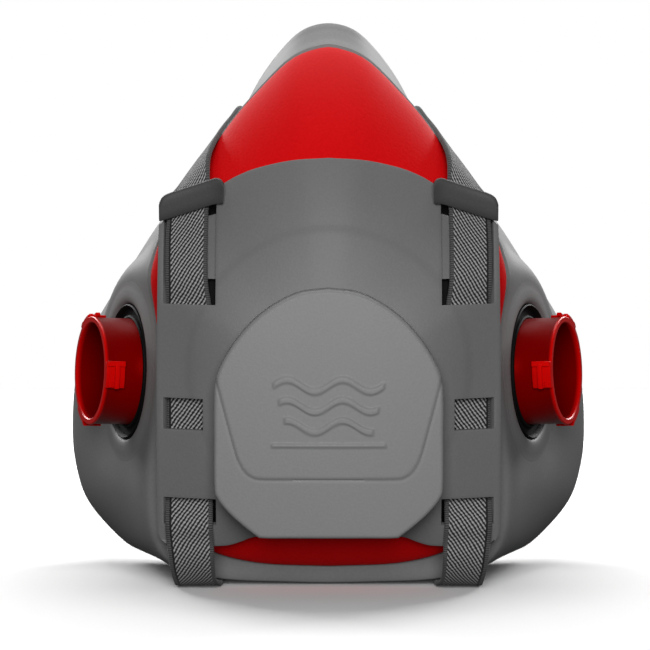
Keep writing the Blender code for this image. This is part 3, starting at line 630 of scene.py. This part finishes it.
def cover_plate():
    """The yoke over the rigid body, with its strap windows and the hole behind the valve hood."""
    xs = spans([0, 30.8, 34.3, WINDOW_OUT, COVER_HALF], 0.9)
    xs = np.concatenate([-xs[:0:-1], xs])
    zs = spans([COVER_LOW, WINDOW_LOW, 26.2, 45.1, 53.7, WINDOW_HIGH, 98.0, COVER_HIGH], 0.9)

    def place(column, row):
        x, z = xs[column], zs[row]
        top = np.interp(np.abs(x), COVER_TOP[:, 0], COVER_TOP[:, 1])
        foot = np.interp(np.abs(x), COVER_FOOT[:, 0], COVER_FOOT[:, 1])
        upper = (top - WINDOW_HIGH) / (COVER_HIGH - WINDOW_HIGH)
        lower = (foot - WINDOW_LOW) / (COVER_LOW - WINDOW_LOW)
        z = np.where(z > WINDOW_HIGH, WINDOW_HIGH + (z - WINDOW_HIGH) * upper, z)
        z = np.where(z < WINDOW_LOW, WINDOW_LOW + (z - WINDOW_LOW) * lower, z)
        side = np.interp(z, COVER_SIDE[:, 0], COVER_SIDE[:, 1])
        wide = np.clip((np.abs(x) - WINDOW_OUT) / (COVER_HALF - WINDOW_OUT), 0, 1)
        x = np.sign(x) * (np.abs(x) + (side - COVER_HALF) * wide)
        in_corner = (np.abs(x) > CORNER_X) & (z < CORNER_Z)
        corner = np.hypot(np.abs(x) - CORNER_X, CORNER_Z - z)
        pull = np.where(in_corner & (corner > CORNER_R), CORNER_R / np.maximum(corner, 1e-6), 1)
        x = np.where(pull < 1, np.sign(x) * (CORNER_X + (np.abs(x) - CORNER_X) * pull), x)
        z = np.where(pull < 1, CORNER_Z - (CORNER_Z - z) * pull, z)
        swell = 0.3 * (1 - step(SWELL_R - 0.9, SWELL_R + 0.9, np.hypot(x, z - SWELL_Z)))
        return x, cover_y(x, z, COVER_FRONT) - swell * step(20, 60, z), z

    bm = warped_grid(len(xs) - 1, len(zs) - 1, place)
    holes = []
    for face in bm.faces:
        x, _, z = face.calc_center_median()
        in_window = any(x0 < abs(x) < x1 and z0 < z < z1 for x0, x1, z0, z1 in WINDOWS)
        if in_window or math.hypot(x, z - VALVE_Z) < COVER_HOLE_R:
            holes.append(face)
    bmesh.ops.delete(bm, geom=holes, context="FACES")
    face_front(merge(bm, 0.02))
    plate = finish("front_cover_plate", bm, cover_grey, ["front_cover"])
    soften_rim(give_wall(plate, COVER_WALL), 0.35)


BAR_TOP = curve([(28.9, 112.3), (29.7, 113.2), (31.1, 113.5), (33.0, 112.9), (40.6, 110.4),
                 (44.6, 109.0), (46.0, 108.0), (46.7, 106.2)], 4)
BAR_FOOT = curve([(28.9, 106.6), (31.6, 106.3), (36, 104.9), (40.6, 103.4), (45.3, 101.9),
                  (46.7, 101.6)], 4)
# Posts at a bar's ends: x from and to, z from and to, and the face as an offset on the cover
BAR_POSTS = [(28.9, 30.75, 107.0, 112.4, 7.2), (45.45, 46.75, 101.8, 107.0, 7.0)]


def strap_bars():
    """The slanting bars over the straps and the posts that carry them."""
    bm = bmesh.new()
    top, foot = evened(BAR_TOP, 33), evened(BAR_FOOT, 33)
    for side in (1, -1):

        def place(column, row):
            share = row / 10
            x, z = (foot[column] * (1 - share[:, None]) + top[column] * share[:, None]).T
            foot_y = cover_y(foot[column, 0], foot[column, 1], 7.3)
            return side * x, foot_y - 0.9 * share + 0.5 * (2 * share - 1) ** 4, z

        bar = push_back(warped_grid(32, 10, place), lambda co: cover_depth(abs(co.x), co.z, 5.7))
        join(bm, round_edges(bar, 0.7, 3, 50))
        for x0, x1, z0, z1, out in BAR_POSTS:
            post = block((x0, 0, z0), (x1, 1, z1))
            for vert in post.verts:
                offset = out if vert.co.y < 0.5 else 3.0
                vert.co.y = cover_depth(vert.co.x, vert.co.z, offset)
                vert.co.x *= side
            bmesh.ops.recalc_face_normals(post, faces=post.faces)
            join(bm, round_edges(post, 0.35, 2, 50))
    finish("strap_bars", bm, bar_grey, [])


def strap_beds():
    """The sunk panels behind the upper windows."""
    bm = bmesh.new()
    for side in (1, -1):

        def place(column, row):
            x = 30.2 + 15.7 * column / 16
            top = 103.9 - (x - 30.2) * 0.3
            z = 86.2 + (top - 86.2) * row / 18
            return side * x, cover_y(x, z, 2.9), z

        bed = push_back(warped_grid(16, 18, place), lambda co: co.y + 1.8)
        join(bm, round_edges(bed, 0.3, 2, 50))
    finish("strap_beds", bm, cover_grey, [])


def channel_liners():
    """Thin black sheets between the straps and the red body: painted shade that keeps the slots
    dark.
    """
    bm = bmesh.new()
    for side in (1, -1):

        def place(column, row):
            x = 29.4 + 16.4 * column / 12
            top = 108.5 - (x - 29.4) * 0.33
            z = 13.6 + (top - 13.6) * row / 70
            return side * x, np.minimum(dome_y(x, z, 0.25), cover_y(x, z, 0.25) + 1.2), z

        shade_sheet = warped_grid(12, 70, place)
        face_front(shade_sheet)
        join(bm, shade_sheet)
    # Painted shade: black sheets where the slots would only be in shadow.
    give_wall(finish("channel_liners", bm, black_rubber, []), 0.18)


# --- Exhalation valve hood --------------------------------------------------------------------

HOOD_EDGE = [
    (0, 84.4), (7.7, 83.4), (14.6, 80.2), (20.8, 75.4), (25.7, 69.6), (29.1, 63.8), (30.6, 59.2),
    (31, 54), (31, 44), (31, 31.5), (30.2, 27.6), (26.1, 22.7), (19.9, 17.6), (17.8, 16.8),
    (10, 16.8), (0, 16.8),
]
HOOD_MIDDLE = 50.0
HOOD_SHOULDER = 1.0  # radius of the round between the hood's face and its walls
OUTLET = (14, -57.5, 17.2)  # half width, foremost y and top of the slot under the hood
STEP_LINE = curve([(0, 33), (10, 33), (18.0, 33), (20.6, 33.5), (22.8, 35.2), (24.6, 38.4),
                   (26.0, 43.0), (28.4, 52.0), (30.2, 59.0), (31.5, 64)], 5)


def hood_face(x, z):
    """Depth of the hood's crowned face."""
    return -63.0 + 2.0 * ((x / 31) ** 2 + ((z - 52) / 36) ** 2)


def hood_relief(x, z):
    """The panel's edge on the hood: a low step with a fine groove along its foot."""
    point = np.column_stack([np.abs(x), z])
    gap = np.full(len(point), 1e9)
    for a, b in zip(STEP_LINE, STEP_LINE[1:]):
        along = np.clip(((point - a) @ (b - a)) / ((b - a) @ (b - a)), 0, 1)
        gap = np.minimum(gap, np.linalg.norm(point - a - along[:, None] * (b - a), axis=1))
    above = z > np.interp(point[:, 0], STEP_LINE[:, 0], STEP_LINE[:, 1])
    gap = np.where(above, gap, -gap)
    return 0.45 * step(-0.3, 0.3, gap) - 0.22 * np.exp(-(gap / 0.38) ** 2)


def hood_marks(x, z):
    """Height of three raised wave lines over a bar."""
    marks = np.zeros_like(x)
    for i, height in enumerate((58.5, 53.0, 47.5)):
        wave = height + 1.6 * np.sin(x * 2 * math.pi / 15.0)
        reach = 14.5 - 1.5 * i
        line = (1 - step(0.45, 1.3, np.abs(z - wave))) * (1 - step(reach, reach + 0.9, np.abs(x)))
        marks = np.maximum(marks, line)
    bar = (1 - step(0.2, 0.8, np.abs(z - 42.3))) * (1 - step(15, 15.8, np.abs(x)))
    return 0.4 * np.maximum(marks, bar)


def valve_hood():
    """The raised hood: a gently crowned face, a rounded shoulder and upright walls."""
    columns = 400
    edge = evened(curve(HOOD_EDGE, 8), 721)
    edge_angle = np.arctan2(edge[:, 0], edge[:, 1] - HOOD_MIDDLE)
    edge_radius = np.hypot(edge[:, 0], edge[:, 1] - HOOD_MIDDLE)
    angles = np.linspace(-math.pi, math.pi, columns + 1)
    radius = np.interp(np.abs(angles), edge_angle, edge_radius)
    # rows from the middle outwards: share of the face's radius, growth beyond it, way back
    face = [(share, 0.0, 0.0) for share in np.linspace(0.0, 1.0, 99)]
    shoulder = [(1.0, HOOD_SHOULDER * math.sin(a), HOOD_SHOULDER * (1 - math.cos(a)))
                for a in np.linspace(0, math.pi / 2, 7)[1:]]
    walls = [(1.0, HOOD_SHOULDER, share) for share in (0.25, 0.5, 0.75, 1.0)]
    table = np.array(face + shoulder + walls)

    def place(column, row):
        share, grow, back = table[row].T
        r = (radius[column] - HOOD_SHOULDER) * share + grow
        x, z = r * np.sin(angles[column]), HOOD_MIDDLE + r * np.cos(angles[column])
        crown, relief = hood_face(x, z), hood_relief(x, z)
        foot = cover_y(x, z, COVER_FRONT + 0.35)
        wall_top = crown + HOOD_SHOULDER
        y = np.where(row < len(face), crown - relief - hood_marks(x, z), crown - relief + back)
        on_wall = row >= len(face) + len(shoulder)
        return x, np.where(on_wall, wall_top + (foot - wall_top) * back, y), z

    bm = merge(warped_grid(columns, len(table) - 1, place))
    outlet = []
    for quad in bm.faces:
        x, y, z = quad.calc_center_median()
        if abs(x) < OUTLET[0] and y > OUTLET[1] and z < OUTLET[2]:
            outlet.append(quad)
    bmesh.ops.delete(bm, geom=outlet, context="FACES")
    bmesh.ops.recalc_face_normals(bm, faces=bm.faces)
    hood = finish("valve_hood", bm, hood_grey, ["valve_cover"])
    give_wall(hood, HOOD_WALL)


# --- Ports ------------------------------------------------------------------------------------

def tube_profile():
    """Radius and height of a port's tube, with its inner shoulder and its rolled rim."""
    out = PORT_OUT
    return [(BORE_R, -10.0), (TUBE_R - 0.3, -10.0), (TUBE_R, -9.7), (TUBE_R, -4.6), (18.3, -4.6),
            (18.3, -3.3), (TUBE_R + 0.2, -3.3), (TUBE_R, -3.0), (TUBE_R, out - 1.1),
            (TUBE_R + 0.25, out - 0.8), (TUBE_R + 0.25, out - 0.2), (TUBE_R + 0.05, out),
            (BORE_R + 0.25, out), (BORE_R, out - 0.25), (BORE_R, out - 1.5), (BORE_R, 4.0)]


LUG_HALF = math.radians(13.5)
# A lug's blocks: from and to as shares of its half angle, outer radius, height from and to
LUG_BLOCKS = [(-1, 1, 16.2, 3.8, 9.25), (-1, 0.8, 16.95, 5.5, 6.9), (0.62, 1, 16.8, 3.9, 9.0),
              (-0.9, -0.45, 16.6, 7.4, 8.7)]


def lug(start, up):
    """A bayonet lug: a curved block at the rim with a ridge across it and a stop at one end."""
    bm = bmesh.new()
    for a0, a1, r1, h0, h1 in LUG_BLOCKS:
        part = bmesh.new()
        corners = [(TUBE_R - 0.5, h0), (r1, h0), (r1, h1), (TUBE_R - 0.5, h1)]
        face = part.faces.new([part.verts.new((r, 0, h)) for r, h in corners])
        bmesh.ops.spin(part, geom=[face], cent=(0, 0, 0), axis=(0, 0, 1),
                       angle=(a1 - a0) * LUG_HALF, steps=12)
        merge(part)
        bmesh.ops.holes_fill(part, edges=part.edges)
        bmesh.ops.recalc_face_normals(part, faces=part.faces)
        round_edges(part, 0.25, 3, 50)
        join(bm, move(part, Matrix.Rotation(a0 * LUG_HALF, 4, "Z")))
    bmesh.ops.scale(bm, vec=(1, up, 1), verts=bm.verts)
    if up < 0:
        bmesh.ops.reverse_faces(bm, faces=bm.faces)
    return move(bm, Matrix.Rotation(start, 4, "Z"))


def spider(bore, hub, low, high, count):
    """Spokes from a hub to the bore round it."""
    bm = bmesh.new()
    for i in range(count):
        bar = round_edges(block((hub - 0.6, -0.9, low), (bore + 0.5, 0.9, high)), 0.2, 2)
        join(bm, move(bar, Matrix.Rotation(2 * math.pi * (i + 0.5) / count, 4, "Z")))
    return bm


def ports():
    """Both ports: tube, lugs, spider and flap stem, with a black seal round the tube."""
    for side, label in ((1, "right"), (-1, "left")):
        bm = turned(tube_profile(), 128)
        for i in range(3):
            join(bm, lug(2 * math.pi * i / 3, -side))
        join(bm, spider(BORE_R, 3.0, -3.8, -2.2, 3))
        post = [(0.02, -8.6), (2.6, -8.6), (2.6, -7.6), (1.2, -7.2), (1.2, -4.0), (3.0, -4.0),
                (3.0, -2.3), (2.6, -2.0), (0.02, -2.0)]
        join(bm, turned(post, 40))
        # Painted glow: a share of brighter red painted on the rolled rim and on the raised lugs,
        # standing for light catching them.
        painted_glow = bm.verts.layers.float.new("painted_glow")
        for vert in bm.verts:
            x, y, h = vert.co
            rim = step(PORT_OUT - 1.3, PORT_OUT - 0.1, h)
            raised = step(TUBE_R + 0.4, TUBE_R + 1.4, math.hypot(x, y)) * step(2, 3, h)
            vert[painted_glow] = float(max(rim, raised))
        finish("bayonet_port_" + label, move(bm, port_frame(side)), port_red,
               ["port_" + label], outward=True)
        seal = [(TUBE_R + 0.35, -3.0), (18.95, -3.0), (19.02, -1.3), (18.7, -1.05), (18.35, -1.4),
                (18.1, -2.5), (16.1, -2.5), (15.85, -1.7), (TUBE_R + 0.35, -1.5)]
        finish("port_seal_" + label, move(turned(seal, 96), port_frame(side)), black_rubber,
               ["port_gasket_" + label], outward=True)


# --- Straps -----------------------------------------------------------------------------------

def on_cover(z, offset, x=STRAP_X, tilt=0.0, wide=1.0):
    """Three points across the strap where it lies on the cover; tilt in degrees drops its edge."""
    angle = math.radians(tilt)
    s = np.array([-0.5, 0.0, 0.5]) * STRAP_WIDTH * wide
    px, pz = x + s * math.cos(angle), z - s * math.sin(angle)
    return np.column_stack([px, cover_y(px, pz, offset), pz])


def in_air(x, y, z, tilt=0.0, yaw=0.0, wide=1.0):
    """Three points across the strap about a centre; yaw in degrees sets its outer edge back."""
    a, b = math.radians(tilt), math.radians(yaw)
    across = np.array([math.cos(a) * math.cos(b), math.sin(b), -math.sin(a) * math.cos(b)])
    return np.array([x, y, z]) + across * STRAP_WIDTH * wide * np.array([[-0.5], [0.0], [0.5]])


def strap_rows():
    """The right-hand strap from the head cradle, through the cover, to the neck clip."""
    low = STRAP_THICK / 2 + 0.02
    head = [
        in_air(28, 134, 5.8), in_air(28, 124.6, 5.7), in_air(28, 121.6, 3.2), in_air(28, 118.9, 0.8),
        in_air(28, 115.7, 0.8), in_air(28, 112.8, 3.2), in_air(28, 108.6, 6.6), in_air(28, 104, 12),
        in_air(28, 98, 23), in_air(27.5, 86, 46, 2), in_air(27, 71, 77, 8), in_air(27, 54, 104, 24),
        in_air(26.8, 34, 120.3, 42), in_air(28.7, 18, 127.2, 52), in_air(31.6, 2, 124.2, 53),
        in_air(34.6, -14, 120.0, 53, 0, 0.96), in_air(37.2, -25.5, 115.0, 46, 0, 0.93),
        on_cover(109.0, 4.5, 38.5, 17, 0.92),
    ]
    front = [
        on_cover(104, 4.3, 38.8, 14, 0.9), on_cover(98, 4.2, 39.0, 4, 0.89),
        on_cover(92, 4.2, 39.0, 0, 0.89), on_cover(86.8, 4.1, 38.9, 0, 0.89),
        on_cover(82.8, 2.7, 38.7, 0, 0.92), on_cover(79.0, 1.4, 38.5, 0, 0.97), on_cover(66, 1.35),
        on_cover(52, 1.35), on_cover(38, 1.35), on_cover(27, 1.35), on_cover(22.4, 3.7),
        on_cover(18.6, 6.1), on_cover(14.6, 6.2, 38.1), in_air(37.8, -43.9, 10.2, 1, 14),
        in_air(37.5, -41.8, 6.2, 3, 14, 0.97), in_air(37.1, -38.6, 3.2, 4, 12, 0.93),
        in_air(36.7, -35.4, 1.6, 3, 8, 0.93), in_air(36.4, -32.4, 1.1, 1, 4, 0.95),
    ]
    neck = [
        in_air(36.1, -29, low), in_air(34.5, 0, low), in_air(33, 42, low), in_air(33, 46.9, 0.85),
        in_air(33, 49.6, 3.4), in_air(33, 52.4, 3.4), in_air(33, 55.1, 0.85), in_air(33, 60, low),
        in_air(33, 77, low), in_air(33, 81.2, 1.3), in_air(33, 82.6, 3.4), in_air(33, 81.2, 5.5),
        in_air(33, 77, 5.9), in_air(33, 70, 3.2), in_air(33, 62, 2.6),
    ]
    return np.array(head + front + neck)


def strap(side, label):
    """One length of webbing with beaded selvedges and a map of its threads in millimetres."""
    rows = strap_rows()
    lines = curve(rows.reshape(len(rows), -1), 10).reshape(-1, 3, 3)
    run = np.concatenate([[0], np.cumsum(np.linalg.norm(np.diff(lines[:, 1], axis=0), axis=1))])
    count = int(run[-1] / 0.8)
    goal = np.linspace(0, run[-1], count + 1)
    inner, middle, outer = [np.column_stack([np.interp(goal, run, lines[:, k, i]) for i in range(3)])
                            for k in range(3)]
    up = np.cross(outer - inner, np.gradient(middle, axis=0))
    up /= np.linalg.norm(up, axis=1)[:, None]
    # half of the section, from one selvedge across the face to the other; the back mirrors it
    flat = np.linspace(-0.95, 0.95, 17)
    lift = STRAP_THICK / 2 * (0.84 + 0.16 * np.abs(flat) ** 4)
    face = list(zip(flat, lift)) + [(0.988, 0.62 * lift[0]), (1.0, 0.0)]
    section = np.array(face + [(-s, -h) for s, h in face])
    n = len(section)

    def place(column, row):
        s, h = section[column % n].T[:, :, None]
        p = (inner[row] * s * (s - 1) / 2 + middle[row] * (1 - s * s) + outer[row] * s * (s + 1) / 2
             + up[row] * h)
        return side * p[:, 0], p[:, 1], p[:, 2]

    def thread(column, row):
        return section[column % n][:, 0] * STRAP_WIDTH / 2, goal[row]

    bm = merge(warped_grid(n, count, place, thread), 0.01)
    bmesh.ops.holes_fill(bm, edges=[e for e in bm.edges if e.is_boundary])
    finish("strap_webbing_" + label, bm, webbing, ["strap_" + label],
           outward=True, crease=60)


# --- Small parts ------------------------------------------------------------------------------

def refined_copy(node, width, body="mask"):
    """A CAD part's own shape with its edges rounded."""
    source = bpy.data.objects[node]
    bm = bmesh.new()
    bm.from_mesh(source.data)
    bm.transform(source.matrix_world)
    bmesh.ops.remove_doubles(bm, verts=bm.verts, dist=0.00001)
    bmesh.ops.dissolve_limit(bm, angle_limit=math.radians(2.0), verts=bm.verts, edges=bm.edges)
    bmesh.ops.scale(bm, vec=(1 / MM,) * 3, verts=bm.verts)
    bmesh.ops.translate(bm, vec=(0, -SHIFT_Y, 0), verts=bm.verts)
    piece = finish(node + "_moulding", bm, black_plastic, [node], body=body)
    soften_rim(piece, width, least=25.0)


def small_parts():
    """The harness hardware with rounded edges, and better materials on the parts inside."""
    refined_copy("head_cradle", 0.6)
    refined_copy("adjuster_right", 0.3)
    refined_copy("adjuster_left", 0.3)
    for node in ("neck_clip_hook", "neck_clip_loop"):
        refined_copy(node, 0.25, body=node)
    inner = {black_plastic: ("exhale_valve_seat", "port_ring_right", "port_ring_left"),
             silicone: ("exhale_valve_flap", "inhale_flap_right", "inhale_flap_left")}
    for material, nodes in inner.items():
        for node in nodes:
            for slot in bpy.data.objects[node].material_slots:
                slot.material = material


# --- Stage ------------------------------------------------------------------------------------

ROOM_LIGHT = 0.075
FLOOR_HALF = 0.55
# Softboxes: place, point aimed at, width and height, watts
SOFTBOXES = {
    "front": ((0, -1.3, 0.42), (0, -0.05, 0.07), (0.6, 0.6), 13.5),
    "top": ((0, 0.48, 1.15), (0, -0.02, 0.0), (1.0, 0.8), 10.5),
    "back_right": ((0.75, 0.95, 0.65), (0, -0.05, 0.0), (0.5, 0.5), 11),
    "back_left": ((-0.75, 0.95, 0.65), (0, -0.05, 0.0), (0.5, 0.5), 11),
}
CAMERA_AWAY = 1.1
CAMERA_RISE = math.radians(4.0)
VIEW_WIDTH = 0.18525  # width seen at the mask
SENSOR = 36.0


def studio():
    """A white room: the world lights the mask weakly but looks white behind it."""
    scene = bpy.context.scene
    scene.view_settings.view_transform = "Standard"
    world = bpy.data.worlds.new("studio")
    scene.world = world
    world.use_nodes = True
    tree = world.node_tree
    seen = add_node(tree, "ShaderNodeLightPath").outputs["Is Camera Ray"]
    strength = add_node(tree, "ShaderNodeMapRange",
                        {"Value": seen, "To Min": ROOM_LIGHT, "To Max": 1.0})
    back = tree.nodes["Background"]
    back.inputs["Color"].default_value = (1, 1, 1, 1)
    tree.links.new(strength.outputs["Result"], back.inputs["Strength"])

    bm = bmesh.new()
    bmesh.ops.create_grid(bm, x_segments=1, y_segments=1, size=FLOOR_HALF)
    mesh = bpy.data.meshes.new("floor")
    bm.to_mesh(mesh)
    bm.free()
    floor = bpy.data.objects.new("floor", mesh)
    floor.location.z = -0.0003
    floor.visible_diffuse = False
    floor.visible_glossy = False
    scene.collection.objects.link(floor)
    mat, _, shader = new_material("Paper white")
    shader.inputs["Base Color"].default_value = (1, 1, 1, 1)
    shader.inputs["Roughness"].default_value = 1.0
    shader.inputs["Specular IOR Level"].default_value = 0.0
    mesh.materials.append(mat)

    for name, (place, aim, size, power) in SOFTBOXES.items():
        data = bpy.data.lights.new(name, "AREA")
        data.shape = "RECTANGLE"
        data.size, data.size_y = size
        data.energy = power
        lamp = bpy.data.objects.new(name, data)
        lamp.location = place
        lamp.rotation_euler = (Vector(aim) - Vector(place)).to_track_quat("-Z", "Y").to_euler()
        scene.collection.objects.link(lamp)

    camera = bpy.data.cameras.new("camera")
    holder = bpy.data.objects.new("camera", camera)
    scene.collection.objects.link(holder)
    aim = Vector((-0.001, SHIFT_Y * MM, 0.0705))
    holder.location = aim + CAMERA_AWAY * Vector((0, -math.cos(CAMERA_RISE), math.sin(CAMERA_RISE)))
    holder.rotation_euler = (math.pi / 2 - CAMERA_RISE, 0, 0)
    camera.sensor_width = SENSOR
    camera.lens = SENSOR * CAMERA_AWAY / VIEW_WIDTH
    camera.clip_start = 0.01
    scene.camera = holder


studio()
facepiece()
collars()
rigid_body()
cover_plate()
strap_bars()
strap_beds()
channel_liners()
valve_hood()
ports()
strap(1, "right")
strap(-1, "left")
small_parts()

bpy.context.view_layer.update()
